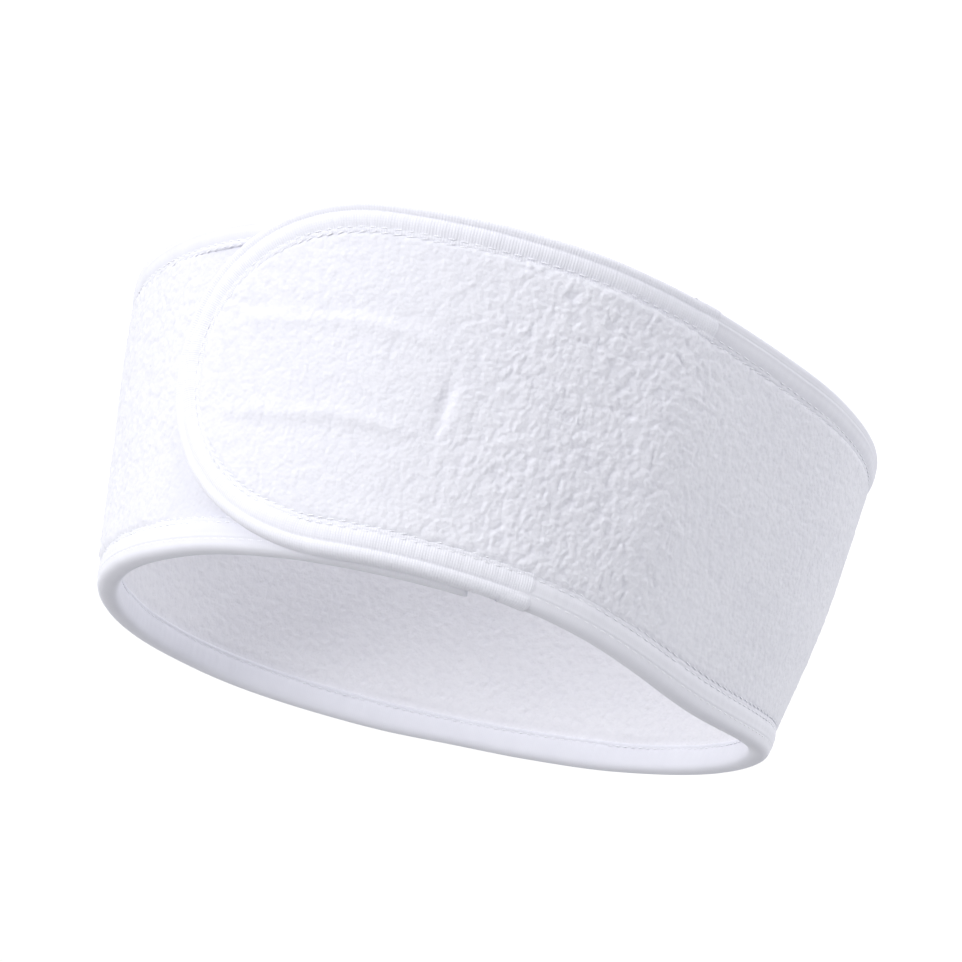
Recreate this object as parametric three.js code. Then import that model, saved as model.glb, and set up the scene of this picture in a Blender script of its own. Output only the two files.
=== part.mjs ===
// A terry sports headband, closed into a ring by hook-and-loop tape.
// The band is a strip of two cloth layers with a folded binding sewn round its edge. It runs from
// the tail, once round the head, and ends in a rounded flap that laps over the tail.
// Units are millimetres. The ring stands on its wider rim, and +Z points to the narrower rim.
import * as THREE from "three";

// ---- driving dimensions ----------------------------------------------------------------------

// The strip.
const BAND_WIDTH = 84; // from rim to rim
const LAP_LENGTH = 82; // how far the flap lies over the tail
const FLAP_ROUND_LENGTH = 47; // length over which the flap's end rounds off
const FLAP_BLUNTNESS = 0.97; // share of the quarter ellipse that the flap's cloth follows to its tip

// The ring's outline at mid height, seen from above: a circle pushed out of round by a few waves.
const RING_RADIUS = 88;
const RING_OVAL = 0.05; // two-fold wave: wider than it is deep
const RING_EGG_X = -0.03; // three-fold waves
const RING_EGG_Y = 0.02;
const RIM_TAPER = 0.135; // how much wider the lower rim is than the upper one
const RIM_LEAN = -3; // how far the lower rim sits forward of the upper one
const TAIL_PLACE = -6.5; // where the tail starts, along the ring from its front

// The upper rim stands a little higher where the cloth bellies out, left of the closure.
const RIM_RISE = 6;
const RIM_RISE_PLACE = 78; // back along the ring from the tail's end
const RIM_RISE_REACH = 42;

// The layers, measured outwards from the inner face of the lining.
const LINING_THICKNESS = 1.5;
const TERRY_THICKNESS = 2.1;
const LAYER_GAP = 0.3; // between pieces that touch
const BINDING_THICKNESS = 0.7;
const BINDING_WIDTH = 8; // how far each leg of the folded binding reaches in from the edge
const JOIN_THICKNESS = 0.5; // the turned end of the binding, where it laps over its own start
const JOIN_LENGTH = 7;
const STITCH_THICKNESS = 0.4;
const STITCH_WIDTH = 0.9;
const TAPE_THICKNESS = 0.8; // hook tape and loop tape alike

// The hook-and-loop closure.
const HOOK_WIDTH = 25;
const HOOK_TIP_INSET = 17; // from the flap's rounded tip to the hook tape
const HOOK_JOINT_INSET = 18; // from the flap's joint to the hook tape
const LOOP_WIDTH = 30;
const LOOP_STITCH_GAP = 0.8; // from the stitching across the tail's end to the loop tape
const LOOP_JOINT_INSET = 6; // from the tail's joint to the loop tape

// The joints between the segments, and the step on to the tail.
const JOINT_GAP = 0.4; // between the ends of two segments
const FLAP_JOINT_PLACE = 2; // how far before the tail's end the flap starts
const FLAP_ROOT_LENGTH = 20; // the short length that the flap bends from
const STEP_LENGTH = 72; // length over which the strip steps out on to the tail
const UPPER_JOIN_PLACE = 7.5; // where the binding's ends meet, back from the flap's joint
const LOWER_JOIN_PLACE = 33.5;

// How finely curved pieces are divided.
const OUTLINE_STEPS = 720;
const PANEL_STEPS = 10;
const FLAP_STEPS = 20;
const EDGE_STEPS = 56;
const SHORT_STEPS = 2;

// ---- worked-out sizes ------------------------------------------------------------------------

const TERRY_START = LINING_THICKNESS + LAYER_GAP;
const TERRY_FACE = TERRY_START + TERRY_THICKNESS;
const BINDING_FACE = TERRY_FACE + LAYER_GAP + BINDING_THICKNESS;
const BINDING_BACK = -LAYER_GAP - BINDING_THICKNESS;
const CLOTH_INSET = BINDING_THICKNESS + LAYER_GAP; // the cloth stops this far inside the rim
const STITCH_INSET = BINDING_WIDTH + LAYER_GAP;
const STITCH_END = STITCH_INSET + STITCH_WIDTH;
const LOOP_FROM = STITCH_END + LOOP_STITCH_GAP;
const LOOP_START = TERRY_FACE + LAYER_GAP;
const LAP_LIFT = LOOP_START + 2 * (TAPE_THICKNESS + LAYER_GAP); // flap's lining above the tail's
const HALF_WIDTH = BAND_WIDTH / 2;

// ---- the ring's outline ----------------------------------------------------------------------

class RingOutline extends THREE.Curve {
  getPoint(turn, target = new THREE.Vector3()) {
    const angle = 2 * Math.PI * turn - Math.PI / 2;
    const waves =
      RING_OVAL * Math.cos(2 * angle) +
      RING_EGG_X * Math.cos(3 * angle) +
      RING_EGG_Y * Math.sin(3 * angle);
    const radius = RING_RADIUS * (1 + waves);
    return target.set(radius * Math.cos(angle), radius * Math.sin(angle), 0);
  }
}

const ring = new RingOutline();
ring.arcLengthDivisions = OUTLINE_STEPS;
const RING_LENGTH = ring.getLength();
const FLAP_JOINT = RING_LENGTH - FLAP_JOINT_PLACE;
const FLAP_TIP = RING_LENGTH + LAP_LENGTH;

// The strip lies on the ring, then steps out far enough to pass over the tail and its tapes.
function lift(along) {
  return LAP_LIFT * THREE.MathUtils.smoothstep(along, FLAP_JOINT - STEP_LENGTH, FLAP_JOINT);
}

// How much a length across the strip is drawn out where the upper rim stands higher.
function stretch(along) {
  const away = (along - RING_LENGTH + RIM_RISE_PLACE) / RIM_RISE_REACH;
  return 1 + (RIM_RISE / BAND_WIDTH) * Math.exp(-away * away);
}

// A place on the strip: along it from the tail's end, up from the lower rim, out from the lining.
function place(along, up, out) {
  const turns = (along + TAIL_PLACE) / RING_LENGTH;
  const turn = turns - Math.floor(turns);
  const point = ring.getPointAt(turn);
  const tangent = ring.getTangentAt(turn);
  const outwards = new THREE.Vector3(tangent.y, -tangent.x, 0);
  point.addScaledVector(outwards, lift(along) + out);
  const lowness = 0.5 - up / BAND_WIDTH;
  point.multiplyScalar(1 + RIM_TAPER * lowness);
  point.y += RIM_LEAN * lowness;
  point.z = up * stretch(along);
  return point;
}

// ---- bending flat pieces on to the strip -----------------------------------------------------

// A cross-section, drawn as corners, made into a bar one unit long along Z.
function bar(corners, steps) {
  const shape = new THREE.Shape(corners.map(([x, y]) => new THREE.Vector2(x, y)));
  return new THREE.ExtrudeGeometry(shape, { depth: 1, steps, bevelEnabled: false });
}

function signedVolume(position, index) {
  const corner = [new THREE.Vector3(), new THREE.Vector3(), new THREE.Vector3()];
  let volume = 0;
  for (let i = 0; i < index.length; i += 3) {
    corner.forEach((v, k) => v.fromBufferAttribute(position, index[i + k]));
    volume += corner[0].dot(corner[1].cross(corner[2])) / 6;
  }
  return volume;
}

// Moves every vertex of a bar to where the route says, and turns the faces outwards.
function bend(geometry, route) {
  const position = geometry.attributes.position;
  for (let i = 0; i < position.count; i += 1) {
    const point = route(position.getX(i), position.getY(i), position.getZ(i));
    position.setXYZ(i, point.x, point.y, point.z);
  }
  const index = Array.from({ length: position.count }, (_, i) => i);
  if (signedVolume(position, index) < 0) {
    for (let i = 0; i < index.length; i += 3) {
      [index[i + 1], index[i + 2]] = [index[i + 2], index[i + 1]];
    }
  }
  geometry.setIndex(index);
  geometry.computeVertexNormals();
  return geometry;
}

// Runs a section of up and out from one place along the strip to another.
function alongStrip(corners, from, to, steps = PANEL_STEPS) {
  return bend(bar(corners, steps), (up, out, share) => {
    return place(THREE.MathUtils.lerp(from, to, share), up, out);
  });
}

// ---- sections --------------------------------------------------------------------------------

function box(x0, x1, y0, y1) {
  return [
    [x0, y0],
    [x1, y0],
    [x1, y1],
    [x0, y1],
  ];
}

// The folded binding: two legs, one on each face of the cloth, and the fold round its edge.
function foldedTape() {
  return [
    [0, BINDING_BACK],
    [BINDING_WIDTH, BINDING_BACK],
    [BINDING_WIDTH, -LAYER_GAP],
    [BINDING_THICKNESS, -LAYER_GAP],
    [BINDING_THICKNESS, TERRY_FACE + LAYER_GAP],
    [BINDING_WIDTH, TERRY_FACE + LAYER_GAP],
    [BINDING_WIDTH, BINDING_FACE],
    [0, BINDING_FACE],
  ];
}

function stitchRow() {
  const start = TERRY_FACE + LAYER_GAP;
  return box(STITCH_INSET, STITCH_END, start, start + STITCH_THICKNESS);
}

// A section drawn inwards from the lower rim, and the same one at the upper rim.
const atLowerRim = (corners) => corners;
const atUpperRim = (corners) => corners.map(([inwards, out]) => [BAND_WIDTH - inwards, out]);

// ---- the flap's rounded outline --------------------------------------------------------------

const ROUND_START = FLAP_TIP - FLAP_ROUND_LENGTH;
const FLAP_START = FLAP_JOINT + JOINT_GAP / 2;

// One cloth layer of the flap: full width, then narrowing along a half ellipse to a blunt tip.
function flapCloth(out0, out1) {
  const round = FLAP_ROUND_LENGTH - CLOTH_INSET;
  const straight = (ROUND_START - FLAP_START) / (FLAP_TIP - FLAP_START);
  const section = box(-1, 1, out0, out1);
  return bend(bar(section, FLAP_STEPS), (side, out, share) => {
    const turn = Math.max(0, (share - straight) / (1 - straight));
    const angle = (turn * FLAP_BLUNTNESS * Math.PI) / 2;
    const before = THREE.MathUtils.lerp(FLAP_START, ROUND_START, Math.min(1, share / straight));
    const half = (HALF_WIDTH - CLOTH_INSET) * Math.cos(angle);
    return place(before + round * Math.sin(angle), HALF_WIDTH + side * half, out);
  });
}

// Follows the flap's edge from its joint, along the lower rim, round the tip and back above.
function flapEdge(share) {
  const straight = ROUND_START - FLAP_START;
  const curve = (Math.PI * (FLAP_ROUND_LENGTH + HALF_WIDTH)) / 2;
  const gone = share * (2 * straight + curve);
  if (gone < straight) {
    return { along: FLAP_START + gone, up: 0, inAlong: 0, inUp: 1 };
  }
  if (gone > straight + curve) {
    const back = gone - straight - curve;
    return { along: ROUND_START - back, up: BAND_WIDTH, inAlong: 0, inUp: -1 };
  }
  const angle = Math.PI * ((gone - straight) / curve - 0.5);
  const inwards = new THREE.Vector2(
    -Math.cos(angle) / FLAP_ROUND_LENGTH,
    -Math.sin(angle) / HALF_WIDTH,
  ).normalize();
  return {
    along: ROUND_START + FLAP_ROUND_LENGTH * Math.cos(angle),
    up: HALF_WIDTH + HALF_WIDTH * Math.sin(angle),
    inAlong: inwards.x,
    inUp: inwards.y,
  };
}

// Runs a section of inwards and out round the flap's edge.
function roundFlap(corners) {
  return bend(bar(corners, EDGE_STEPS), (inwards, out, share) => {
    const edge = flapEdge(share);
    return place(edge.along + edge.inAlong * inwards, edge.up + edge.inUp * inwards, out);
  });
}

// ---- materials -------------------------------------------------------------------------------

function cloth(color, roughness) {
  return () => new THREE.MeshStandardMaterial({ color, roughness, metalness: 0 });
}

const terryCloth = cloth(0xf1f2f6, 0.95);
const liningCloth = cloth(0xe6e7ee, 0.9);
const bindingTape = cloth(0xf5f6f9, 0.8);
const thread = cloth(0xf8f8fa, 0.6);
const hookTape = cloth(0xeeeff2, 0.55);
const loopTape = cloth(0xf0f0f3, 0.9);

// ---- the headband ----------------------------------------------------------------------------

const headband = new THREE.Group();
headband.name = "headband";

function add(name, geometry, material) {
  const mesh = new THREE.Mesh(geometry, material());
  mesh.name = name;
  headband.add(mesh);
}

// The segments between the tail's end and the flap's joint, in order along the strip. The tail is
// as long as the lap, the flap's root is short, and the segments between them are alike.
const RIGHT_SEGMENTS = ["right_side", "right_back"];
const LEFT_SEGMENTS = ["left_back", "left_side", "left_front"];
const RING_SEGMENTS = [...RIGHT_SEGMENTS, "back", ...LEFT_SEGMENTS];
const SEGMENTS = ["tail", ...RING_SEGMENTS, "flap_root"];
const SEGMENT_LENGTH = (FLAP_JOINT - FLAP_ROOT_LENGTH - LAP_LENGTH) / RING_SEGMENTS.length;
const BENDS = RING_SEGMENTS.map((_, number) => LAP_LENGTH + number * SEGMENT_LENGTH);
const SEGMENT_ENDS = [0, ...BENDS, FLAP_JOINT - FLAP_ROOT_LENGTH, FLAP_JOINT];

SEGMENTS.forEach((segment, number) => {
  const isTail = segment === "tail";
  const from = isTail ? 0 : SEGMENT_ENDS[number] + JOINT_GAP / 2;
  const to = SEGMENT_ENDS[number + 1] - JOINT_GAP / 2;
  const clothFrom = isTail ? CLOTH_INSET : from;
  const stitchFrom = isTail ? STITCH_INSET : from;
  const terry = box(CLOTH_INSET, BAND_WIDTH - CLOTH_INSET, TERRY_START, TERRY_FACE);
  const lining = box(CLOTH_INSET, BAND_WIDTH - CLOTH_INSET, 0, LINING_THICKNESS);
  add(`${segment}_terry_layer`, alongStrip(terry, clothFrom, to), terryCloth);
  add(`${segment}_lining`, alongStrip(lining, clothFrom, to), liningCloth);
  for (const [rim, atRim] of Object.entries({ lower: atLowerRim, upper: atUpperRim })) {
    add(`${segment}_${rim}_binding`, alongStrip(atRim(foldedTape()), from, to), bindingTape);
    add(`${segment}_${rim}_stitching`, alongStrip(atRim(stitchRow()), stitchFrom, to), thread);
  }
});

// The flap, whose binding and stitching run round its tip in one length.
add("flap_terry_layer", flapCloth(TERRY_START, TERRY_FACE), terryCloth);
add("flap_lining", flapCloth(0, LINING_THICKNESS), liningCloth);
add("flap_binding", roundFlap(foldedTape()), bindingTape);
add("flap_stitching", roundFlap(stitchRow()), thread);

// Closes the tail's square end, between the two rim bindings.
function acrossTail(corners, inset) {
  return bend(bar(corners, SHORT_STEPS), (along, out, share) => {
    return place(along, THREE.MathUtils.lerp(inset, BAND_WIDTH - inset, share), out);
  });
}

add("tail_end_binding", acrossTail(foldedTape(), STITCH_INSET), bindingTape);
add("tail_end_stitching", acrossTail(stitchRow(), STITCH_END + LAYER_GAP), thread);

// The two tapes that hold the ring closed, facing each other between the flap and the tail.
function patch(from, to, width, out) {
  const section = box(HALF_WIDTH - width / 2, HALF_WIDTH + width / 2, out, out + TAPE_THICKNESS);
  return alongStrip(section, from, to);
}

const HOOK_FROM = FLAP_JOINT + HOOK_JOINT_INSET;
const HOOK_TO = FLAP_TIP - HOOK_TIP_INSET;
const HOOK_OUT = -LAYER_GAP - TAPE_THICKNESS;
const LOOP_TO = LAP_LENGTH - LOOP_JOINT_INSET;
add("hook_tape", patch(HOOK_FROM, HOOK_TO, HOOK_WIDTH, HOOK_OUT), hookTape);
add("loop_tape", patch(LOOP_FROM, LOOP_TO, LOOP_WIDTH, LOOP_START), loopTape);

// The turned ends of the binding, one at each rim, lapped over the start of the same tape.
function bindingJoin(atRim, back) {
  const start = BINDING_FACE + LAYER_GAP;
  const section = atRim(box(0, BINDING_WIDTH, start, start + JOIN_THICKNESS));
  const middle = FLAP_JOINT - back;
  return alongStrip(section, middle - JOIN_LENGTH / 2, middle + JOIN_LENGTH / 2, SHORT_STEPS);
}

add("upper_binding_join", bindingJoin(atUpperRim, UPPER_JOIN_PLACE), bindingTape);
add("lower_binding_join", bindingJoin(atLowerRim, LOWER_JOIN_PLACE), bindingTape);

// The origin is under the middle of the whole object, on the plane that it stands on.
const middle = new THREE.Box3().setFromObject(headband).getCenter(new THREE.Vector3());
headband.position.set(-middle.x, -middle.y, 0);

// Lines across the strip on the binding's outer face, each from the lower to the upper rim: the
// tail's end, every bend between two segments, and the flap's tip.
headband.userData.crossLines = [...SEGMENT_ENDS, FLAP_TIP].map((along) => {
  const ends = [0, BAND_WIDTH].map((up) => place(along, up, BINDING_FACE));
  return ends.map((end) => end.add(headband.position));
});

export default headband;
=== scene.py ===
# A plain white terry sports headband, closed into a ring by a rounded flap.
# Sizes are worked out in millimetres on the flat strip and turned into metres on the ring.
import math

import bpy
import numpy as np
from mathutils import Matrix, Vector


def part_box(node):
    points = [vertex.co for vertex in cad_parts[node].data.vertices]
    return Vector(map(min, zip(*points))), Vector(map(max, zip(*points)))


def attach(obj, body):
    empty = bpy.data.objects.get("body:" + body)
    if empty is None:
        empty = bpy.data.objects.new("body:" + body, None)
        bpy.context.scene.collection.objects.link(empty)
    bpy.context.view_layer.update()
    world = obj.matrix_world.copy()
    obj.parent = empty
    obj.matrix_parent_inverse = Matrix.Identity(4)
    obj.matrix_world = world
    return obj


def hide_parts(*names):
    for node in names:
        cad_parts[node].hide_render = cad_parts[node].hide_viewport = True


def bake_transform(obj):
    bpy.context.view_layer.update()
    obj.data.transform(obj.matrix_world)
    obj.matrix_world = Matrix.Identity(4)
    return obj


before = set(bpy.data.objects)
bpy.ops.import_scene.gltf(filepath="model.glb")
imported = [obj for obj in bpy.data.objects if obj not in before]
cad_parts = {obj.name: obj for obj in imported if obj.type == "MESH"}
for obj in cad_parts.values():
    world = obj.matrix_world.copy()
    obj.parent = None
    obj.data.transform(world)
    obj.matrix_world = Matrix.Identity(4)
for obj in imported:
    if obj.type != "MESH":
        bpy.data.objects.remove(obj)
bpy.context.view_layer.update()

# ---- sizes of the strip and of the ring, as the frame has them --------------------------------

BAND_WIDTH = 84.0
LAP_LENGTH = 82.0
FLAP_ROUND_LENGTH = 47.0
RING_RADIUS = 88.0
RING_OVAL = 0.05
RING_EGG_X = -0.03
RING_EGG_Y = 0.02
RIM_TAPER = 0.135
RIM_LEAN = -3.0
TAIL_PLACE = -6.5
RIM_RISE = 6.0
RIM_RISE_PLACE = 78.0
RIM_RISE_REACH = 42.0
TERRY_START = 1.8
TERRY_FACE = 3.9
BINDING_WIDTH = 8.0
LAP_LIFT = 6.4
FLAP_JOINT_PLACE = 2.0
FLAP_ROOT_LENGTH = 20.0
STEP_LENGTH = 72.0
JOINT_GAP = 0.4
CLOTH_INSET = 1.0
HALF_WIDTH = BAND_WIDTH / 2

HOOK_WIDTH = 25.0
HOOK_TIP_INSET = 17.0
HOOK_JOINT_INSET = 18.0
LOOP_WIDTH = 30.0
LOOP_FROM = 10.0
LOOP_JOINT_INSET = 6.0
UPPER_JOIN_PLACE = 7.5
LOWER_JOIN_PLACE = 33.5

# ---- places on the strip ----------------------------------------------------------------------

TURN = np.linspace(0, 1, 7201)
ANGLE = 2 * math.pi * TURN - math.pi / 2
WAVES = (
    RING_OVAL * np.cos(2 * ANGLE)
    + RING_EGG_X * np.cos(3 * ANGLE)
    + RING_EGG_Y * np.sin(3 * ANGLE)
)
RING_X = RING_RADIUS * (1 + WAVES) * np.cos(ANGLE)
RING_Y = RING_RADIUS * (1 + WAVES) * np.sin(ANGLE)
ARC = np.concatenate([[0], np.cumsum(np.hypot(np.diff(RING_X), np.diff(RING_Y)))])
RING_LENGTH = ARC[-1]
SLOPE_X = np.gradient(RING_X, ARC)
SLOPE_Y = np.gradient(RING_Y, ARC)

FLAP_JOINT = RING_LENGTH - FLAP_JOINT_PLACE
FLAP_TIP = RING_LENGTH + LAP_LENGTH
ROUND_START = FLAP_TIP - FLAP_ROUND_LENGTH
SEGMENT_LENGTH = (FLAP_JOINT - FLAP_ROOT_LENGTH - LAP_LENGTH) / 6
SEGMENT_ENDS = [0.0]
SEGMENT_ENDS += [LAP_LENGTH + number * SEGMENT_LENGTH for number in range(6)]
SEGMENT_ENDS += [FLAP_JOINT - FLAP_ROOT_LENGTH, FLAP_JOINT, FLAP_TIP]
SEGMENTS = ["tail", "right_side", "right_back", "back", "left_back", "left_side", "left_front"]
SEGMENTS += ["flap_root", "flap"]


def smooth(x, low, high):
    t = np.clip((x - low) / (high - low), 0, 1)
    return t * t * (3 - 2 * t)


def place(along, up, out):
    """Points in metres, from along the strip, up from its lower rim and out from its lining."""
    along, up, out = np.broadcast_arrays(along, up, out)
    at = np.mod(along + TAIL_PLACE, RING_LENGTH)
    tx = np.interp(at, ARC, SLOPE_X)
    ty = np.interp(at, ARC, SLOPE_Y)
    length = np.hypot(tx, ty)
    away = out + LAP_LIFT * smooth(along, FLAP_JOINT - STEP_LENGTH, FLAP_JOINT)
    x = np.interp(at, ARC, RING_X) + ty / length * away
    y = np.interp(at, ARC, RING_Y) - tx / length * away
    lowness = 0.5 - up / BAND_WIDTH
    scale = 1 + RIM_TAPER * lowness
    belly = np.exp(-(((along - RING_LENGTH + RIM_RISE_PLACE) / RIM_RISE_REACH) ** 2))
    height = up * (1 + RIM_RISE / BAND_WIDTH * belly)
    points = np.stack([x * scale, y * scale + RIM_LEAN * lowness, height], axis=-1)
    return (points + CENTRE) * 0.001


CENTRE = np.zeros(3)
stations = np.linspace(SEGMENT_ENDS[3] + JOINT_GAP / 2, SEGMENT_ENDS[4] - JOINT_GAP / 2, 11)
corners = place(
    stations[:, None, None],
    np.array([CLOTH_INSET, BAND_WIDTH - CLOTH_INSET])[None, :, None],
    np.array([TERRY_START, TERRY_FACE])[None, None, :],
).reshape(-1, 3)
node_low, node_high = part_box("back_terry_layer")
CENTRE = (np.array(node_low) + np.array(node_high)) / 2 * 1000
CENTRE = CENTRE - (corners.min(0) + corners.max(0)) / 2 * 1000
CENTRE[2] = 0


def edge_distance(along, up):
    """How far a place lies in from the strip's nearest edge, the flap's round tip included."""
    sides = np.minimum(up, BAND_WIDTH - up)
    x = (along - ROUND_START) / FLAP_ROUND_LENGTH
    y = (up - HALF_WIDTH) / HALF_WIDTH
    f = np.sqrt(x * x + y * y) + 1e-9
    steepness = np.sqrt((x / FLAP_ROUND_LENGTH) ** 2 + (y / HALF_WIDTH) ** 2) / f + 1e-9
    rounded = (1 - f) / steepness
    return np.minimum(np.where(along > ROUND_START, rounded, sides), along)


# ---- height fields ----------------------------------------------------------------------------

LATTICE_SIZE = 257


def lattice(seed, count):
    """Tables of random numbers, always the same for one seed."""
    return np.random.default_rng(seed).random((count, LATTICE_SIZE, LATTICE_SIZE))


def domes(x, y, pitch, seed, stretch=1.0):
    """Rounded clumps of loops, one in each cell of a shaken lattice, from 0 between them to 1."""
    jitter_x, jitter_y, size, height = lattice(seed, 4)
    gx = x / pitch
    gy = y / (pitch * stretch)
    ix = np.floor(gx).astype(int)
    iy = np.floor(gy).astype(int)
    best = np.zeros_like(gx)
    for dx in (-1, 0, 1):
        for dy in (-1, 0, 1):
            cx = (ix + dx) % LATTICE_SIZE
            cy = (iy + dy) % LATTICE_SIZE
            px = gx - (ix + dx + 0.1 + 0.8 * jitter_x[cx, cy])
            py = gy - (iy + dy + 0.1 + 0.8 * jitter_y[cx, cy])
            reach = 0.55 + 0.4 * size[cx, cy]
            rise = np.clip(1 - (px * px + py * py) / (reach * reach), 0, None)
            best = np.maximum(best, rise * (0.45 + 0.55 * height[cx, cy]))
    return best


def swell(x, y, pitch, seed):
    """Smooth unevenness between -1 and 1."""
    table = lattice(seed, 1)[0] * 2 - 1
    gx = x / pitch
    gy = y / pitch
    ix = np.floor(gx).astype(int)
    iy = np.floor(gy).astype(int)
    fx = gx - ix
    fy = gy - iy
    fx = fx * fx * (3 - 2 * fx)
    fy = fy * fy * (3 - 2 * fy)
    total = 0
    for dx, wx in ((0, 1 - fx), (1, fx)):
        for dy, wy in ((0, 1 - fy), (1, fy)):
            corner = table[(ix + dx) % LATTICE_SIZE, (iy + dy) % LATTICE_SIZE]
            total = total + corner * wx * wy
    return total


def hump(x, centre, half_width):
    return np.exp(-(((x - centre) / half_width) ** 2))


# The terry's own shape in millimetres: how high its backing lies, how far it puffs out between
# the bindings, and how deep its pile is.
TERRY_BACKING = 3.35
TERRY_PUFF = 1.35
PILE_DEPTH = 1.05
FOLD_PLACE = 33.0
FOLD_HEIGHT = 1.9
FULL_SIDE_PLACE = 118.0
FULL_SIDE_HEIGHT = 1.9
TAPE_SINK = 0.6
RIDGE_HEIGHTS = ((-1, 0.42), (1, 0.5))
DENT_DEPTH = 0.95
DENT_FOLD = 0.45
THREAD_MARK_DEPTH = 0.55
# The lining's, which lies nearer the head than its backing does.
LINING_BACKING = 0.35
LINING_PUFF = 0.5
LINING_PILE_DEPTH = 0.5
LINING_CREASE_PLACE = SEGMENT_ENDS[3] + 26

HOOK_FROM = FLAP_JOINT + HOOK_JOINT_INSET
HOOK_TO = FLAP_TIP - HOOK_TIP_INSET
LOOP_TO = LAP_LENGTH - LOOP_JOINT_INSET
# Where the hook tape's sewing dimples the flap, past its joint and up from the lower rim.
THREAD_MARKS = [(71.5, 23.0), (69.0, 25.5), (66.0, 26.5), (63.5, 27.5), (70.5, 28.5), (67.0, 30.0)]


def terry_surface(along, up):
    """How far out the outer terry stands, and how high its pile is from 0 to 1, lowered on the
    lapped tail as painted shade.
    """
    inwards = edge_distance(along, up)
    rise = smooth(inwards, BINDING_WIDTH - 2.4, BINDING_WIDTH + 1.4)
    # The clumps lean and run together, longer across the strip than along it.
    x = along + 0.85 * swell(along, up, 2.2, 17)
    y = up + 1.3 * swell(along, up, 3.0, 18)
    ridges = 1 - np.abs(swell(x, y * 0.65, 1.3, 19))
    pile = 0.42 * domes(x, y, 1.8, 11, 1.7) + 0.26 * ridges * ridges
    pile = pile + 0.24 * domes(along + 40, up + 40, 1.0, 12, 1.3)
    pile = pile + 0.08 * (swell(along, up, 0.8, 13) + 1) / 2
    pressed_and_shaded = 1 - smooth(along, LAP_LENGTH - 4, LAP_LENGTH + 12)
    under_tape = (
        smooth(along, LOOP_FROM - 1.5, LOOP_FROM + 0.5)
        * (1 - smooth(along, LOOP_TO - 0.5, LOOP_TO + 1.5))
        * (1 - smooth(abs(up - HALF_WIDTH), LOOP_WIDTH / 2 - 0.5, LOOP_WIDTH / 2 + 1.5))
    )
    held_flat = 0.55 * smooth(along, FLAP_JOINT + 2, FLAP_JOINT + 26)
    worn = 0.6 * smooth(along, FLAP_JOINT - 200, FLAP_JOINT - 150)
    worn = worn * (1 - smooth(along, FLAP_JOINT - 58, FLAP_JOINT - 30))
    depth = PILE_DEPTH * (0.35 + 0.65 * rise) * (1 - 0.75 * pressed_and_shaded) * (1 - held_flat) * (1 - worn)
    out = TERRY_BACKING + TERRY_PUFF * rise * (1 - 0.72 * pressed_and_shaded)
    out = out + depth * pile - TAPE_SINK * under_tape
    out = out + 0.45 * swell(along, up, 34, 14) * rise * (1 - pressed_and_shaded)
    # It stands fuller round the side, where the ring turns away, and in a fold beside the lap.
    fold_line = FLAP_JOINT - FOLD_PLACE - 0.07 * (up - HALF_WIDTH)
    fold_rise = smooth(inwards, BINDING_WIDTH - 1, BINDING_WIDTH + 22)
    out = out + FOLD_HEIGHT * hump(along, fold_line, 11) * fold_rise
    full_rise = smooth(inwards, BINDING_WIDTH - 1, HALF_WIDTH) ** 0.6
    out = out + FULL_SIDE_HEIGHT * hump(along, FLAP_JOINT - FULL_SIDE_PLACE, 44) * full_rise
    out = out + 0.12 * swell(along, up, 14, 15) * rise * (1 - pressed_and_shaded)
    # The hook tape under the flap shows through as two low ridges and a dent at its end.
    over_tape = smooth(along, HOOK_FROM, HOOK_FROM + 12)
    over_tape = over_tape * (1 - smooth(along, HOOK_TO - 8, HOOK_TO + 3))
    for side, height in RIDGE_HEIGHTS:
        ridge = HALF_WIDTH - 0.5 + side * (HOOK_WIDTH / 2 - 1.5)
        ridge = ridge + 0.6 * swell(along, up * 0, 16, 16)
        out = out + height * over_tape * hump(up, ridge, 1.7)
        out = out - 0.22 * over_tape * hump(up, ridge + side * 3.6, 2.2)
    dent_along = HOOK_FROM - 0.3 + 0.1 * (up - HALF_WIDTH - 2)
    dent = hump(along, dent_along, 1.25) * hump(up, HALF_WIDTH + 3, 6.5)
    fold = hump(along, dent_along - 3.4, 2.0) * hump(up, HALF_WIDTH + 2.5, 6)
    out = out - DENT_DEPTH * dent + DENT_FOLD * fold
    for mark_along, mark_up in THREAD_MARKS:
        mark = hump(along, FLAP_JOINT + mark_along, 1.1) * hump(up, mark_up, 1.0)
        out = out - THREAD_MARK_DEPTH * mark
    # Lowering the pile value on the lapped tail darkens its colour: painted shade where the flap
    # laps over it.
    return out, pile * (1 - 0.8 * pressed_and_shaded)


def lining_surface(along, up):
    """How far out the lining's pile stands, which is below 0 inside the ring, and its height."""
    inwards = edge_distance(along, up)
    rise = smooth(inwards, BINDING_WIDTH - 0.9, BINDING_WIDTH + 3.5)
    pile = 0.6 * domes(along, up, 1.5, 21, 1.2) + 0.4 * domes(along, up, 0.95, 22, 1.1)
    lapped = smooth(along, FLAP_JOINT - 6, FLAP_JOINT)
    depth = LINING_PILE_DEPTH * (1 - 0.8 * lapped)
    out = LINING_BACKING - LINING_PUFF * rise * (1 - lapped) - depth * rise * pile
    out = out + 0.35 * swell(along, up, 40, 24) * rise * (1 - lapped)
    out = out + 0.3 * hump(along, LINING_CREASE_PLACE, 8) * rise
    return out, pile


# ---- meshes -----------------------------------------------------------------------------------


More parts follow.
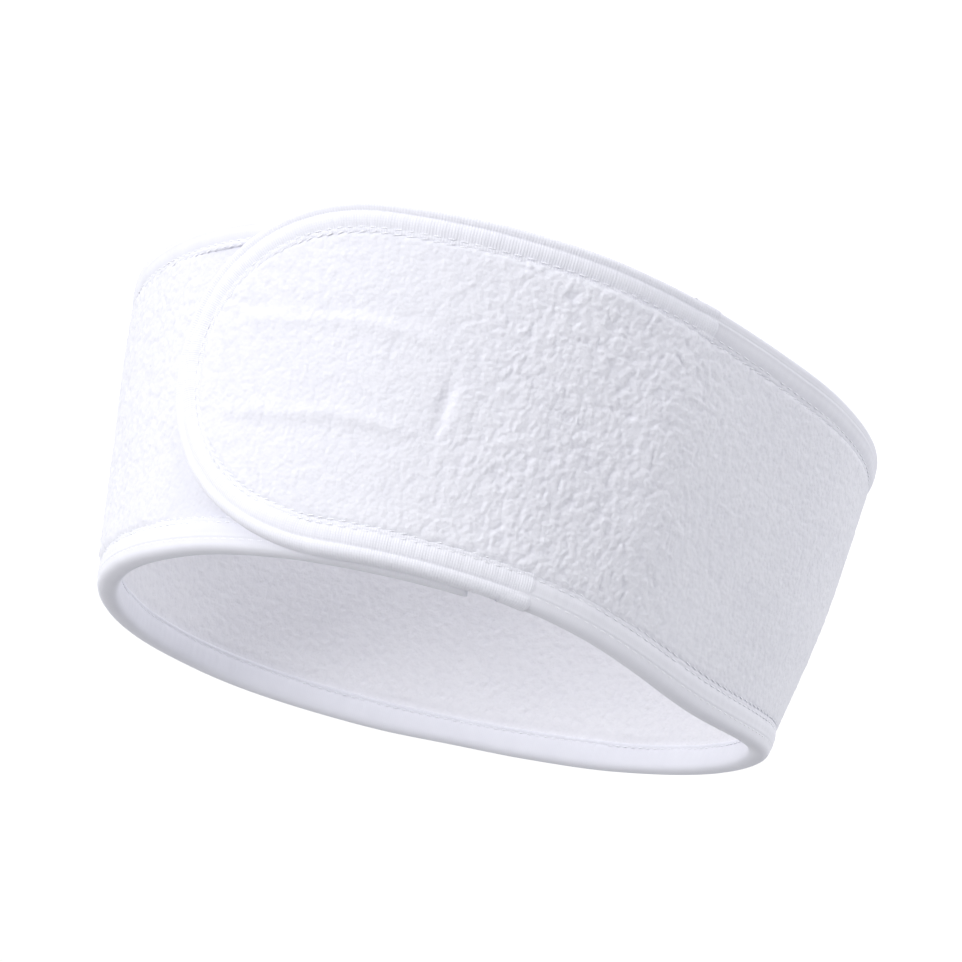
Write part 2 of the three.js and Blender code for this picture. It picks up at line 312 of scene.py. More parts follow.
def add_mesh(name, points, faces, material, uv=None, pile=None):
    mesh = bpy.data.meshes.new(name)
    corners_each = faces.shape[1]
    mesh.vertices.add(len(points))
    mesh.vertices.foreach_set("co", points.astype(np.float32).ravel())
    mesh.loops.add(faces.size)
    mesh.loops.foreach_set("vertex_index", faces.astype(np.int32).ravel())
    mesh.polygons.add(len(faces))
    mesh.polygons.foreach_set("loop_start", np.arange(0, faces.size, corners_each, dtype=np.int32))
    mesh.polygons.foreach_set("use_smooth", np.ones(len(faces), bool))
    if uv is not None:
        layer = mesh.uv_layers.new(name="UVMap")
        layer.data.foreach_set("uv", uv[faces.ravel()].astype(np.float32).ravel())
    if pile is not None:
        attribute = mesh.attributes.new("pile", "FLOAT", "POINT")
        attribute.data.foreach_set("value", pile.astype(np.float32).ravel())
    mesh.update()
    mesh.validate()
    obj = bpy.data.objects.new(name, mesh)
    bpy.context.collection.objects.link(obj)
    mesh.materials.append(material)
    return obj


def grid_faces(rows, columns):
    a = np.arange(rows * columns).reshape(rows, columns)
    quads = [a[:-1, :-1], a[1:, :-1], a[1:, 1:], a[:-1, 1:]]
    return np.stack(quads, axis=-1).reshape(-1, 4)


def drop_loose(points, faces, *extras):
    used = np.unique(faces)
    place_of = np.full(len(points), -1)
    place_of[used] = np.arange(len(used))
    return [points[used], place_of[faces]] + [extra[used] for extra in extras]


# ---- materials --------------------------------------------------------------------------------


def new_material(name):
    material = bpy.data.materials.new(name)
    material.use_nodes = True
    tree = material.node_tree
    shader = tree.nodes["Principled BSDF"]
    return material, tree, shader


def add_node(tree, kind, **values):
    node = tree.nodes.new(kind)
    for key, value in values.items():
        if hasattr(node, key):
            setattr(node, key, value)
        else:
            node.inputs[key.replace("_", " ")].default_value = value
    return node


def mapped(tree, source, scale):
    mapping = tree.nodes.new("ShaderNodeMapping")
    mapping.inputs["Scale"].default_value = scale
    tree.links.new(source, mapping.inputs["Vector"])
    return mapping.outputs["Vector"]


def noise(tree, vector, scale, detail=2.0, roughness=0.6):
    node = add_node(tree, "ShaderNodeTexNoise", Scale=scale, Detail=detail, Roughness=roughness)
    tree.links.new(vector, node.inputs["Vector"])
    return node.outputs["Fac"]


def ramp(tree, factor, marks):
    node = tree.nodes.new("ShaderNodeValToRGB")
    elements = node.color_ramp.elements
    while len(elements) < len(marks):
        elements.new(0.5)
    for element, (position, color) in zip(elements, marks):
        element.position = position
        element.color = (*color, 1)
    tree.links.new(factor, node.inputs["Fac"])
    return node.outputs["Color"]


def mix_color(tree, kind, factor, first, second):
    node = add_node(tree, "ShaderNodeMix", data_type="RGBA", blend_type=kind)
    node.inputs["Factor"].default_value = factor
    tree.links.new(first, node.inputs["A"])
    tree.links.new(second, node.inputs["B"])
    return node.outputs["Result"]


def bump(tree, height, strength, distance, normal=None):
    node = add_node(tree, "ShaderNodeBump", Strength=strength, Distance=distance)
    tree.links.new(height, node.inputs["Height"])
    if normal is not None:
        tree.links.new(normal, node.inputs["Normal"])
    return node.outputs["Normal"]


def coordinates(tree, output):
    return tree.nodes.new("ShaderNodeTexCoord").outputs[output]


def pile_material(name, shaded_valley, tip, loop_scale, loop_depth):
    material, tree, shader = new_material(name)
    spot = coordinates(tree, "Object")
    pile = add_node(tree, "ShaderNodeAttribute", attribute_name="pile").outputs["Fac"]
    # The colour darkens from the loops' tips down into the valleys between them: painted shade in
    # the recesses.
    pile_shade_color = ramp(tree, pile, [(0.0, shaded_valley), (0.55, tip)])
    patches = ramp(tree, noise(tree, spot, 45, 3), [(0.3, (0.975, 0.975, 0.98)), (0.7, (1, 1, 1))])
    color = mix_color(tree, "MULTIPLY", 1.0, pile_shade_color, patches)
    tree.links.new(color, shader.inputs["Base Color"])
    loops = add_node(tree, "ShaderNodeTexVoronoi", Scale=loop_scale, feature="F1")
    tree.links.new(spot, loops.inputs["Vector"])
    rounded = bump(tree, loops.outputs["Distance"], 0.55, -loop_depth)
    fibres = noise(tree, mapped(tree, spot, (1, 1, 1.6)), 3400, 3, 0.7)
    tree.links.new(bump(tree, fibres, 0.5, 0.00012, rounded), shader.inputs["Normal"])
    rough = ramp(tree, pile, [(0.0, (1, 1, 1)), (1.0, (0.86, 0.86, 0.86))])
    tree.links.new(rough, shader.inputs["Roughness"])
    shader.inputs["Sheen Weight"].default_value = 0.25
    shader.inputs["Sheen Roughness"].default_value = 0.6
    shader.inputs["Specular IOR Level"].default_value = 0.15
    return material


def tape_material(name, base, rib_depth, rib_shade, course_strength):
    """Knitted tape, mapped in millimetres: fine cross ribs along U and small courses across V."""
    material, tree, shader = new_material(name)
    spot = coordinates(tree, "UV")
    ribs = add_node(tree, "ShaderNodeTexWave", Scale=0.52, Distortion=0.6, Detail=1.0)
    ribs.bands_direction = "X"
    ribs.inputs["Detail Scale"].default_value = 1.5
    tree.links.new(mapped(tree, spot, (1000, 1000, 1)), ribs.inputs["Vector"])
    courses = add_node(tree, "ShaderNodeTexWave", Scale=0.5, Distortion=1.5, Detail=1.0)
    courses.bands_direction = "Y"
    tree.links.new(mapped(tree, spot, (1000, 1000, 1)), courses.inputs["Vector"])
    shaded_valley = tuple(rib_shade * c for c in base)
    shade = ramp(tree, ribs.outputs["Fac"], [(0.0, shaded_valley), (0.6, base)])
    unevenness = noise(tree, coordinates(tree, "Object"), 120, 3)
    patches = ramp(tree, unevenness, [(0.3, (0.97, 0.97, 0.975)), (0.7, (1, 1, 1))])
    tree.links.new(mix_color(tree, "MULTIPLY", 1.0, shade, patches), shader.inputs["Base Color"])
    normal = bump(tree, ribs.outputs["Fac"], 0.8, rib_depth)
    normal = bump(tree, courses.outputs["Fac"], course_strength, 0.00006, normal)
    fuzz = noise(tree, coordinates(tree, "Object"), 4200, 2)
    tree.links.new(bump(tree, fuzz, 0.35, 0.00006, normal), shader.inputs["Normal"])
    shader.inputs["Roughness"].default_value = 0.82
    shader.inputs["Sheen Weight"].default_value = 0.15
    shader.inputs["Sheen Roughness"].default_value = 0.5
    shader.inputs["Specular IOR Level"].default_value = 0.2
    return material


def thread_material(name, base):
    material, tree, shader = new_material(name)
    twist = add_node(tree, "ShaderNodeTexWave", Scale=0.9, Distortion=0.5)
    twist.bands_direction = "DIAGONAL"
    spot = mapped(tree, coordinates(tree, "Object"), (1000, 1000, 1000))
    tree.links.new(spot, twist.inputs["Vector"])
    # The colour darkens in the twist's grooves: painted shade.
    color = ramp(tree, twist.outputs["Fac"], [(0.0, tuple(0.9 * c for c in base)), (0.5, base)])
    tree.links.new(color, shader.inputs["Base Color"])
    tree.links.new(bump(tree, twist.outputs["Fac"], 0.5, 0.00008), shader.inputs["Normal"])
    shader.inputs["Roughness"].default_value = 0.6
    shader.inputs["Specular IOR Level"].default_value = 0.35
    return material


def floor_material():
    material, tree, shader = new_material("studio_floor")
    shader.inputs["Base Color"].default_value = (0.35, 0.35, 0.355, 1)
    shader.inputs["Roughness"].default_value = 0.9
    shader.inputs["Specular IOR Level"].default_value = 0.1
    shader.inputs["Emission Color"].default_value = (1, 1, 1, 1)
    shader.inputs["Emission Strength"].default_value = 0.91
    return material


TERRY = pile_material("terry_loops", (0.765, 0.77, 0.84), (0.825, 0.83, 0.895), 900, 0.0003)
# The lining is coloured lighter than the terry: painted light on the ring's inside.
LINING = pile_material("lining_loops", (0.83, 0.828, 0.88), (0.87, 0.868, 0.915), 1300, 0.00015)
LOOP = pile_material("loop_pile", (0.79, 0.79, 0.82), (0.86, 0.86, 0.885), 1600, 0.0003)
TAPE = tape_material("binding_knit", (0.86, 0.865, 0.935), 0.00008, 0.965, 0.25)
# The ironed tape is coloured darker than the ribbed tape: painted shade.
SHADED_IRONED_TAPE = tape_material("binding_knit_ironed_shaded", (0.82, 0.825, 0.89), 0.00001, 0.985, 0.05)
WOVEN = tape_material("hook_base_weave", (0.84, 0.845, 0.865), 0.0001, 0.93, 0.3)
THREAD = thread_material("sewing_thread", (0.92, 0.925, 0.985))
HOOK = thread_material("hook_plastic", (0.84, 0.84, 0.86))

# ---- cutting into pieces ----------------------------------------------------------------------

# Piece k crosses the joint between segments k and k + 1, from the middle of one to the middle of
# the next, so that it spans one joint and ends in the middle of a segment.
MIDDLES = [(a + b) / 2 for a, b in zip(SEGMENT_ENDS[:-1], SEGMENT_ENDS[1:])]
CUTS = [0.0] + MIDDLES[1:8] + [FLAP_TIP]
PANEL_COUNT = len(CUTS) - 1
LAST_PANEL = PANEL_COUNT - 1
BEND_REACH = [30.0] * 6 + [8.5, 8.5]


def bend_piece(obj, number):
    """Bakes a piece's transform into its mesh; the ends of its joint's bend are worked out but not
    used.
    """
    middle = SEGMENT_ENDS[number + 1]
    reach = BEND_REACH[number]
    ends = place(np.array([middle - reach, middle + reach]), HALF_WIDTH, 4.0)
    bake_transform(obj)


def stops(low, high, step):
    count = max(2, int(round((high - low) / step)) + 1)
    return np.linspace(low, high, count)


# How far a panel's cloth stops short of the strip's edges, hidden in the folded binding.
TAIL_INSET = 4.0
TIP_INSET = 4.5
RIM_INSET = 5.5
EDGE_INSET = 5.0


def cloth_panels(title, surface, step, material, node_ending, outward):
    """One layer of the strip, as a sheet across each bend; the last one also covers the flap."""
    for number in range(PANEL_COUNT):
        low = TAIL_INSET if number == 0 else CUTS[number]
        along = stops(low, CUTS[number + 1] - (TIP_INSET if number == LAST_PANEL else 0), step)
        up = stops(RIM_INSET, BAND_WIDTH - RIM_INSET, step)
        s, z = np.meshgrid(along, up, indexing="ij")
        out, pile = surface(s, z)
        points = place(s, z, out).reshape(-1, 3)
        faces = grid_faces(len(along), len(up))
        if not outward:
            faces = faces[:, ::-1]
        cloth = edge_distance(s, z) > EDGE_INSET
        faces = faces[cloth.ravel()[faces].all(axis=1)]
        uv = np.stack([s.ravel(), z.ravel()], axis=-1) * 0.001
        points, faces, uv, pile = drop_loose(points, faces, uv, pile.ravel())
        obj = add_mesh(f"{title}_{number + 1}", points, faces, material, uv, pile)
        nodes = [f"{SEGMENTS[number]}_{node_ending}"]
        if number == LAST_PANEL:
            nodes.append(f"flap_{node_ending}")
        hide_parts(*nodes)
        bend_piece(obj, number)


# ---- folded binding ---------------------------------------------------------------------------

# The tape's section as inwards from the edge and out, from its outer leg round to its inner leg.
OUTER_LEG = [(8.3, 3.2), (8.35, 4.1), (8.1, 4.5), (7.6, 4.75), (7.0, 4.62), (6.4, 4.95)]
OUTER_LEG += [(5.4, 5.25), (4.3, 5.25), (3.5, 5.05), (3.0, 4.7), (2.5, 5.0), (1.7, 5.2)]
OUTER_LEG += [(0.9, 4.95)]
FOLD = [(0.35, 4.3), (0.05, 3.4), (0.0, 2.3), (0.05, 1.2), (0.35, 0.2), (0.9, -0.6)]
INNER_LEG = [(1.8, -1.05), (3.0, -1.15), (4.4, -1.15), (5.8, -1.05), (6.6, -0.85), (7.0, -0.62)]
INNER_LEG += [(7.5, -0.85), (8.0, -0.8), (8.3, -0.35), (8.3, 0.5)]


def rounded_section(points, rounds=2):
    for _ in range(rounds):
        a = np.array(points, float)
        quarter = a[:-1] * 0.75 + a[1:] * 0.25
        three = a[:-1] * 0.25 + a[1:] * 0.75
        points = np.concatenate([a[:1], np.stack([quarter, three], 1).reshape(-1, 2), a[-1:]])
    return points


SECTION = rounded_section(OUTER_LEG + FOLD + INNER_LEG)
ACROSS = np.concatenate([[0], np.cumsum(np.hypot(*np.diff(SECTION, axis=0).T))])


def rim_edge(rim):
    """The edge along a rim, as a function of the place along the strip."""

    def edge(along):
        up = np.zeros_like(along) if rim == "lower" else np.full_like(along, BAND_WIDTH)
        inwards = 1.0 if rim == "lower" else -1.0
        return along, up, np.zeros_like(along), np.full_like(along, inwards)

    return edge


FLAP_FROM = CUTS[LAST_PANEL]
STRAIGHT = ROUND_START - FLAP_FROM
TIP_ANGLES = np.linspace(-math.pi / 2, math.pi / 2, 801)
TIP_STEPS = np.hypot(
    np.diff(FLAP_ROUND_LENGTH * np.cos(TIP_ANGLES)), np.diff(HALF_WIDTH * np.sin(TIP_ANGLES))
)
TIP_ARC = np.concatenate([[0], np.cumsum(TIP_STEPS)])


def flap_edge(gone):
    """The edge along the lower rim, round the flap's tip and back along the upper rim."""
    curve = TIP_ARC[-1]
    angle = np.interp(np.clip(gone - STRAIGHT, 0, curve), TIP_ARC, TIP_ANGLES)
    back = np.maximum(gone - STRAIGHT - curve, 0)
    along = np.minimum(FLAP_FROM + gone, ROUND_START) + FLAP_ROUND_LENGTH * np.cos(angle) - back
    up = HALF_WIDTH + HALF_WIDTH * np.sin(angle)
    nx = -np.cos(angle) / FLAP_ROUND_LENGTH
    ny = -np.sin(angle) / HALF_WIDTH
    length = np.hypot(nx, ny)
    return along, up, nx / length, ny / length


def tail_edge(up):
    return np.zeros_like(up), up, np.ones_like(up), np.zeros_like(up)


def on_edge(edge, where, inwards, out):
    along, up, in_along, in_up = edge(where)
    return place(along + in_along * inwards, up + in_up * inwards, out)


STITCH_PITCH = 2.7
STITCH_LENGTH = 1.75
STITCH_THICKNESS = 0.42
STITCH_SIDES = 6


def pucker(where, seed):
    """Small gathers that the stitches pull into the tape, and slower unevenness."""
    gathers = 0.07 * np.sin(2 * math.pi * where / STITCH_PITCH)
    row = where * 0 + seed
    slow = 0.16 * swell(where, row, 5.5, 31) + 0.2 * swell(where, row, 17, 32)
    return gathers + slow


TAPE_STEP = 0.75
# Extra sections close to a length's ends, where a free end is tucked in so that it closes.
TUCKS = np.array([0.05, 0.15, 0.35])
TUCK_REACH = 1.5
UNTUCKED = 9.0
# How much of the tape's groove is filled where it is ironed smooth.
GROOVE_FILL = 0.42


def tape_mesh(name, edge, low, high, seed, fatter=0.0, closed_low=False, closed_high=False):
    """A length of binding: ribbed round the flap as far as its joins, and ironed smooth beyond."""
    where = stops(low, high, TAPE_STEP)
    where = np.concatenate([where[:1], low + TUCKS, where[1:-1], high - TUCKS[::-1], where[-1:]])
    w, index = np.meshgrid(where, np.arange(len(SECTION)), indexing="ij")
    inwards = SECTION[index, 0]
    out = SECTION[index, 1]
    middle = (SECTION[:, 1].max() + SECTION[:, 1].min()) / 2
    along, up = edge(w)[:2]
    join = FLAP_JOINT - np.where(up < HALF_WIDTH, LOWER_JOIN_PLACE, UPPER_JOIN_PLACE)
    ironed = 1 - smooth(along, join - 2, join + 2)
    out = out + np.where(out > middle, GROOVE_FILL * ironed * hump(inwards, 3.1, 0.75), 0)
    leg = np.clip((out - middle) / 3, -1, 1)
    near_fold = np.exp(-((inwards / 3.0) ** 2))
    at_cut = np.abs(along - FLAP_FROM)
    calm = smooth(at_cut, 0.4, 8.0)
    uneven = pucker(w, seed) * calm
    out = out + leg * uneven * (0.35 + 0.65 * smooth(inwards, 1, 6))
    out = out - fatter * smooth(-leg, 0.2, 1) * calm
    inwards = inwards + near_fold * (0.25 + 0.25 * calm * swell(w, w * 0 + seed, 23, 33))
    from_end = np.where(closed_low, w - low, UNTUCKED)
    from_end = np.minimum(from_end, np.where(closed_high, high - w, UNTUCKED))
    out = middle + (out - middle) * np.sqrt(np.clip(from_end / TUCK_REACH, 0, 1))
    points = on_edge(edge, w, inwards, out).reshape(-1, 3)
    uv = np.stack([w.ravel(), ACROSS[index].ravel()], axis=-1) * 0.001
    faces = grid_faces(len(where), len(SECTION))[:, ::-1]
    obj = add_mesh(name, points, faces, SHADED_IRONED_TAPE, uv)
    obj.data.materials.append(TAPE)
    ribbed = (along > join).ravel()[faces].any(axis=1)
    obj.data.polygons.foreach_set("material_index", ribbed.astype(np.int32))
    return obj


def stitch_shape():
    """One stitch lying along X, a unit long and a unit wide, thicker in its middle."""
    rings = [(-0.5, 0.15), (-0.36, 0.75), (0, 1), (0.36, 0.75), (0.5, 0.15)]
    points = []
    for x, radius in rings:
        for turn in range(STITCH_SIDES):
            angle = 2 * math.pi * turn / STITCH_SIDES
            points.append((x, 0.5 * radius * math.cos(angle), 0.5 * radius * math.sin(angle)))
    faces = []
    for ring in range(len(rings) - 1):
        for turn in range(STITCH_SIDES):
            a = ring * STITCH_SIDES + turn
            b = ring * STITCH_SIDES + (turn + 1) % STITCH_SIDES
            faces.append((a, b, b + STITCH_SIDES, a + STITCH_SIDES))
    return np.array(points), np.array(faces)


STITCH_POINTS, STITCH_FACES = stitch_shape()


def stitches(edge, low, high, rows):
    """Points and faces of rows of separate stitches; each row is (inwards, out, slant)."""
    points = []
    faces = []
    count = 0
    for inwards, out, slant in rows:
        first = math.ceil(low / STITCH_PITCH)
        last = math.floor(high / STITCH_PITCH)
        for number in range(first, last):
            middle = (number + 0.5) * STITCH_PITCH
            where = middle + STITCH_POINTS[:, 0] * STITCH_LENGTH
            side = inwards + STITCH_POINTS[:, 1] * STITCH_THICKNESS + slant * STITCH_POINTS[:, 0]
            high_out = out + STITCH_POINTS[:, 2] * STITCH_THICKNESS
            points.append(on_edge(edge, where, side, high_out))
            faces.append(STITCH_FACES + count)
            count += len(STITCH_POINTS)
    return np.concatenate(points), np.concatenate(faces)


RIM_ROWS = [(7.0, 4.72, 0.0), (8.2, 4.6, 0.4), (7.0, -0.75, 0.0)]
TOPSTITCH_ROW = (2.9, 5.12, 0.0)
# How far from the tail's corners the rims' stitching, its end's stitching and its tape begin.
RIM_STITCH_START = 7
END_STITCH_START = 9.5
END_TAPE_START = 0.3


def binding_pieces():
    for rim in ("lower", "upper"):
        edge = rim_edge(rim)
        seed = 3 if rim == "lower" else 8
        for number in range(LAST_PANEL):
            low = CUTS[number]
            high = CUTS[number + 1]
            name = f"{rim}_rim_binding_{number + 1}"
            tape = tape_mesh(name, edge, low, high, seed, closed_low=number == 0)
            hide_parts(f"{SEGMENTS[number]}_{rim}_binding")
            bend_piece(tape, number)
            from_place = low + RIM_STITCH_START if number == 0 else low
            rows = RIM_ROWS + [TOPSTITCH_ROW] if rim == "upper" else RIM_ROWS
            points, faces = stitches(edge, from_place, high, rows)
            row = add_mesh(f"{rim}_rim_stitches_{number + 1}", points, faces, THREAD)
            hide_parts(f"{SEGMENTS[number]}_{rim}_stitching")
            bend_piece(row, number)
    total = 2 * STRAIGHT + TIP_ARC[-1]
    tape = tape_mesh("flap_binding_round", flap_edge, 0.0, total, 5, 0.35)
    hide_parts("flap_binding", "flap_root_lower_binding", "flap_root_upper_binding")
    bend_piece(tape, LAST_PANEL)
    points, faces = stitches(flap_edge, 0.0, total, RIM_ROWS)
    row = add_mesh("flap_stitches_round", points, faces, THREAD)
    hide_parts("flap_stitching", "flap_root_lower_stitching", "flap_root_upper_stitching")
    bend_piece(row, LAST_PANEL)
    low, high = END_TAPE_START, BAND_WIDTH - END_TAPE_START
    tape = tape_mesh("tail_end_tape", tail_edge, low, high, 9, closed_low=True, closed_high=True)
    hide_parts("tail_end_binding")
    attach(tape, "tail")
    low, high = END_STITCH_START, BAND_WIDTH - END_STITCH_START
    points, faces = stitches(tail_edge, low, high, RIM_ROWS)
    row = add_mesh("tail_end_stitches", points, faces, THREAD)
    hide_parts("tail_end_stitching")
    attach(row, "tail")


HALF_JOIN = 3.6
JOIN_STEP = 0.4
JOIN_SECTION = SECTION[6:-6]


def join_pieces():
    """Where the tape's turned end laps over its own start: a short raised sleeve round the rim."""
    for rim, back, seed in (("lower", LOWER_JOIN_PLACE, 41), ("upper", UPPER_JOIN_PLACE, 42)):
        middle = FLAP_JOINT - back
        where = stops(middle - HALF_JOIN, middle + HALF_JOIN, JOIN_STEP)
        w, index = np.meshgrid(where, np.arange(len(JOIN_SECTION)), indexing="ij")
        inwards = JOIN_SECTION[index, 0]
        out = JOIN_SECTION[index, 1]
        lapped = 1 - smooth(w, middle - 2.4, middle + 3.0)
        turned = smooth(w, middle - HALF_JOIN, middle - 3.0)
        proud = -0.12 + 0.42 * lapped * turned + 0.04 * swell(w, inwards, 1.5, seed)
        leg = np.clip((out - 2.0) / 3, -1, 1)
        out = out + leg * proud
        points = on_edge(rim_edge(rim), w, inwards, out).reshape(-1, 3)
        uv = np.stack([w.ravel(), inwards.ravel()], axis=-1) * 0.001
        faces = grid_faces(len(where), len(JOIN_SECTION))[:, ::-1]
        sleeve = add_mesh(f"{rim}_join_sleeve", points, faces, TAPE, uv)
        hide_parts(f"{rim}_binding_join")
        if rim == "lower":
            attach(sleeve, "left_front")
        else:
            bend_piece(sleeve, LAST_PANEL)


# ---- hook and loop tapes ----------------------------------------------------------------------

SLAB_STEP = 0.6
SLAB_ROUNDING = 0.5


def slab(name, low, high, width, base, face, material, body, node):
    """A tape lying on the cloth: a thin slab with rounded long edges."""
    along = stops(low, high, SLAB_STEP)
    half = width / 2
    across = np.concatenate([[-half], stops(-half, half, SLAB_STEP), [half]])
    s, y = np.meshgrid(along, across, indexing="ij")
    border = np.minimum(half - np.abs(y), np.minimum(s - low, high - s))
    raised = np.sqrt(np.clip(border / SLAB_ROUNDING, 0, 1))
    pile = domes(s, y + 60, 1.0, 51)
    out = base + (face - base) * raised * (0.75 + 0.25 * pile)
    points = place(s, HALF_WIDTH + y, out).reshape(-1, 3)
    uv = np.stack([s.ravel(), y.ravel()], axis=-1) * 0.001
    faces = grid_faces(len(along), len(across))
    if face < base:
        faces = faces[:, ::-1]
    obj = add_mesh(name, points, faces, material, uv, pile.ravel())
    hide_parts(node)
    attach(obj, body)


# A hook's rings: how far each rises from base to face, how far it leans, and its radius.
HOOK_RINGS = [(0.0, 0.0, 0.16), (0.35, 0.0, 0.12), (0.75, 0.1, 0.11), (1.0, 0.32, 0.1)]
HOOK_RINGS += [(0.85, 0.55, 0.06)]
HOOK_SIDES = 4
HOOK_ALONG_PITCH = 1.3
HOOK_ACROSS_PITCH = 1.15


def hook_field(base, face):
    """Rows of small bent hooks on the hook tape."""
    points = []
    faces = []
    count = 0
    rng = np.random.default_rng(61)
    half = HOOK_WIDTH / 2
    for s in np.arange(HOOK_FROM + 1.5, HOOK_TO - 1.5, HOOK_ALONG_PITCH):
        for y in np.arange(-half + 1.6, half - 1.5, HOOK_ACROSS_PITCH):
            s0 = s + rng.uniform(-0.12, 0.12)
            y0 = y + rng.uniform(-0.1, 0.1)
            lean = 1 if int(round(y / HOOK_ACROSS_PITCH)) % 2 else -1
            for rise, reach, radius in HOOK_RINGS:
                for turn in range(HOOK_SIDES):
                    angle = 2 * math.pi / HOOK_SIDES * turn
                    points.append(
                        (
                            s0 + lean * reach + radius * math.cos(angle),
                            HALF_WIDTH + y0 + radius * math.sin(angle),
                            base + (face - base) * rise,
                        )
                    )
            for ring in range(len(HOOK_RINGS) - 1):
                for turn in range(HOOK_SIDES):
                    a = count + ring * HOOK_SIDES + turn
                    b = count + ring * HOOK_SIDES + (turn + 1) % HOOK_SIDES
                    faces.append((a, b, b + HOOK_SIDES, a + HOOK_SIDES))
            count += HOOK_SIDES * len(HOOK_RINGS)
    spots = np.array(points)
    obj = add_mesh("hook_field", place(*spots.T), np.array(faces), HOOK)
    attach(obj, "flap")


SEAM_INSET = 1.2
SEAM_CORNER = 1.5
SEAM_PITCH = 2.2
SEAM_STITCH_LENGTH = 1.5
SEAM_THICKNESS = 0.36


def tape_seam(name, low, high, width, out, body):
    """The sewn line just inside a tape's edge."""
    half = width / 2 - SEAM_INSET
    points = []
    faces = []
    count = 0
    first, last = low + SEAM_CORNER, high - SEAM_CORNER
    lines = [((first, -half), (last, -half)), ((first, half), (last, half))]
    first, last = low + SEAM_INSET, high - SEAM_INSET
    lines += [((first, -half), (first, half)), ((last, -half), (last, half))]
    for start, end in lines:
        start = np.array(start)
        end = np.array(end)
        length = np.linalg.norm(end - start)
        forward = (end - start) / length
        side = np.array([-forward[1], forward[0]])
        for number in range(int(length // SEAM_PITCH)):
            middle = start + forward * (number + 0.5) * SEAM_PITCH
            spots = middle + STITCH_POINTS[:, :1] * SEAM_STITCH_LENGTH * forward
            spots = spots + STITCH_POINTS[:, 1:2] * SEAM_THICKNESS * side
            high_out = out + STITCH_POINTS[:, 2] * SEAM_THICKNESS
            points.append(place(spots[:, 0], HALF_WIDTH + spots[:, 1], high_out))
            faces.append(STITCH_FACES + count)
            count += len(STITCH_POINTS)
    obj = add_mesh(name, np.concatenate(points), np.concatenate(faces), THREAD)
    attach(obj, body)


# ---- the headband -----------------------------------------------------------------------------

# The camera stands in front of the band and above it, and is turned nearly upside down.
CAMERA_AZIMUTH = -0.106
CAMERA_ELEVATION = 18.505
CAMERA_ROLL = 193.873
CAMERA_DISTANCE = 671.4
CAMERA_LENS = 94.4757
CAMERA_SENSOR = 36.0
CAMERA_AIM = (-0.12, -10.49)


def set_camera():
    azimuth = math.radians(CAMERA_AZIMUTH)
    elevation = math.radians(CAMERA_ELEVATION)
    roll = math.radians(CAMERA_ROLL)
    forward = Vector(
        (
            -math.sin(azimuth) * math.cos(elevation),
            math.cos(azimuth) * math.cos(elevation),
            -math.sin(elevation),
        )
    )
    right = Vector((math.cos(azimuth), math.sin(azimuth), 0))
    up = right.cross(forward)
    spot = -forward * CAMERA_DISTANCE + Vector((0, 0, HALF_WIDTH))
    spot = spot + right * CAMERA_AIM[0] + up * CAMERA_AIM[1]
    x_axis = right * math.cos(roll) + up * math.sin(roll)
    y_axis = up * math.cos(roll) - right * math.sin(roll)
    axes = Matrix((x_axis, y_axis, -forward)).transposed()
    data = bpy.data.cameras.new("camera")
    data.sensor_width = CAMERA_SENSOR
    data.lens = CAMERA_LENS
    data.clip_start = 0.01
    camera = bpy.data.objects.new("camera", data)
    camera.matrix_world = Matrix.Translation(spot * 0.001) @ axes.to_4x4()
    bpy.context.collection.objects.link(camera)
    bpy.context.scene.camera = camera


LIT_SPOT = (0, 0, 0.04)
LIGHTS = [
    ("key", (1.15, -0.95, 0.35), 0.7, 11.2, (1.0, 0.995, 0.99)),
    ("fill", (-1.25, 0.45, 0.5), 1.0, 3.4, (0.96, 0.97, 1.0)),
    ("overhead", (0.0, 0.2, 2.2), 1.6, 14.0, (1.0, 1.0, 1.0)),
]


def add_light(name, spot, size, watts, color):
    data = bpy.data.lights.new(name, "AREA")
    data.shape = "DISK"
    data.size = size
    data.energy = watts
    data.color = color
    light = bpy.data.objects.new(name, data)
    direction = Vector(LIT_SPOT) - Vector(spot)
    light.location = spot
    light.rotation_euler = direction.to_track_quat("-Z", "Y").to_euler()
    bpy.context.collection.objects.link(light)


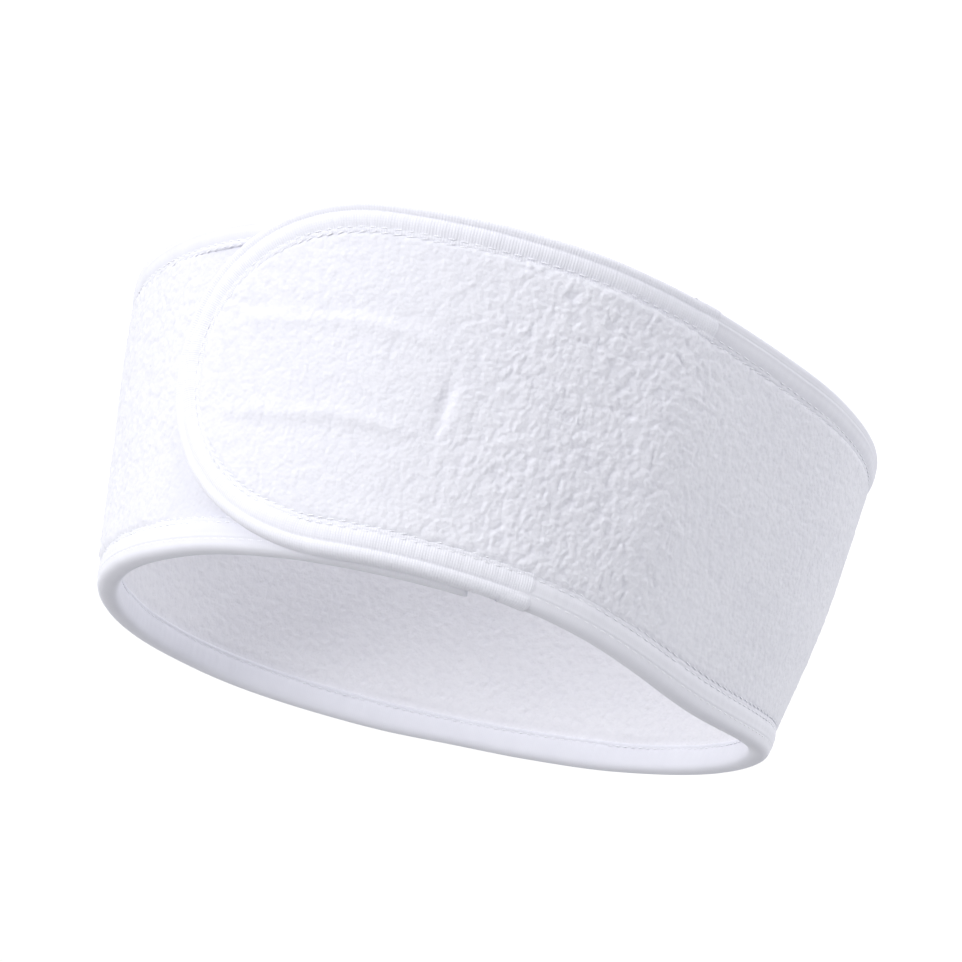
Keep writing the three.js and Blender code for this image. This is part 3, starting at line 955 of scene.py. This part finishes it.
FLOOR_RADIUS = 12
FLOOR_DROP = 0.0002


def set_studio():
    bpy.ops.mesh.primitive_circle_add(
        vertices=96, radius=FLOOR_RADIUS, fill_type="NGON", location=(0, 0, -FLOOR_DROP)
    )
    floor = bpy.context.object
    floor.name = "studio_floor"
    floor.data.materials.append(floor_material())
    world = bpy.data.worlds.new("studio")
    world.use_nodes = True
    tree = world.node_tree
    # A white wall round the floor's edge, under a dimmer ceiling.
    height = tree.nodes.new("ShaderNodeSeparateXYZ")
    tree.links.new(coordinates(tree, "Generated"), height.inputs["Vector"])
    sky = ramp(tree, height.outputs["Z"], [(0.26, (0.95, 0.95, 0.96)), (0.36, (0.1, 0.1, 0.11))])
    tree.links.new(sky, tree.nodes["Background"].inputs["Color"])
    bpy.context.scene.world = world
    bpy.context.scene.view_settings.view_transform = "Standard"
    for light in LIGHTS:
        add_light(*light)


TERRY_STEP = 0.42
LINING_STEP = 0.6
# How far out the base, the face and the seam of each tape lie, and the hooks' roots and tips.
HOOK_BASE, HOOK_FACE, HOOK_SEAM = 0.3, -0.35, -0.5
HOOK_ROOTS, HOOK_TIPS = -0.3, -1.1
LOOP_BASE, LOOP_FACE, LOOP_SEAM = 3.4, 4.9, 4.85

set_camera()
set_studio()
cloth_panels("terry_cover", terry_surface, TERRY_STEP, TERRY, "terry_layer", True)
cloth_panels("lining_cloth", lining_surface, LINING_STEP, LINING, "lining", False)
binding_pieces()
join_pieces()
hook_size = (HOOK_FROM, HOOK_TO, HOOK_WIDTH)
loop_size = (LOOP_FROM, LOOP_TO, LOOP_WIDTH)
slab("hook_tape_base", *hook_size, HOOK_BASE, HOOK_FACE, WOVEN, "flap", "hook_tape")
hook_field(HOOK_ROOTS, HOOK_TIPS)
tape_seam("hook_tape_seam", *hook_size, HOOK_SEAM, "flap")
slab("loop_tape_pile", *loop_size, LOOP_BASE, LOOP_FACE, LOOP, "tail", "loop_tape")
tape_seam("loop_tape_seam", *loop_size, LOOP_SEAM, "tail")
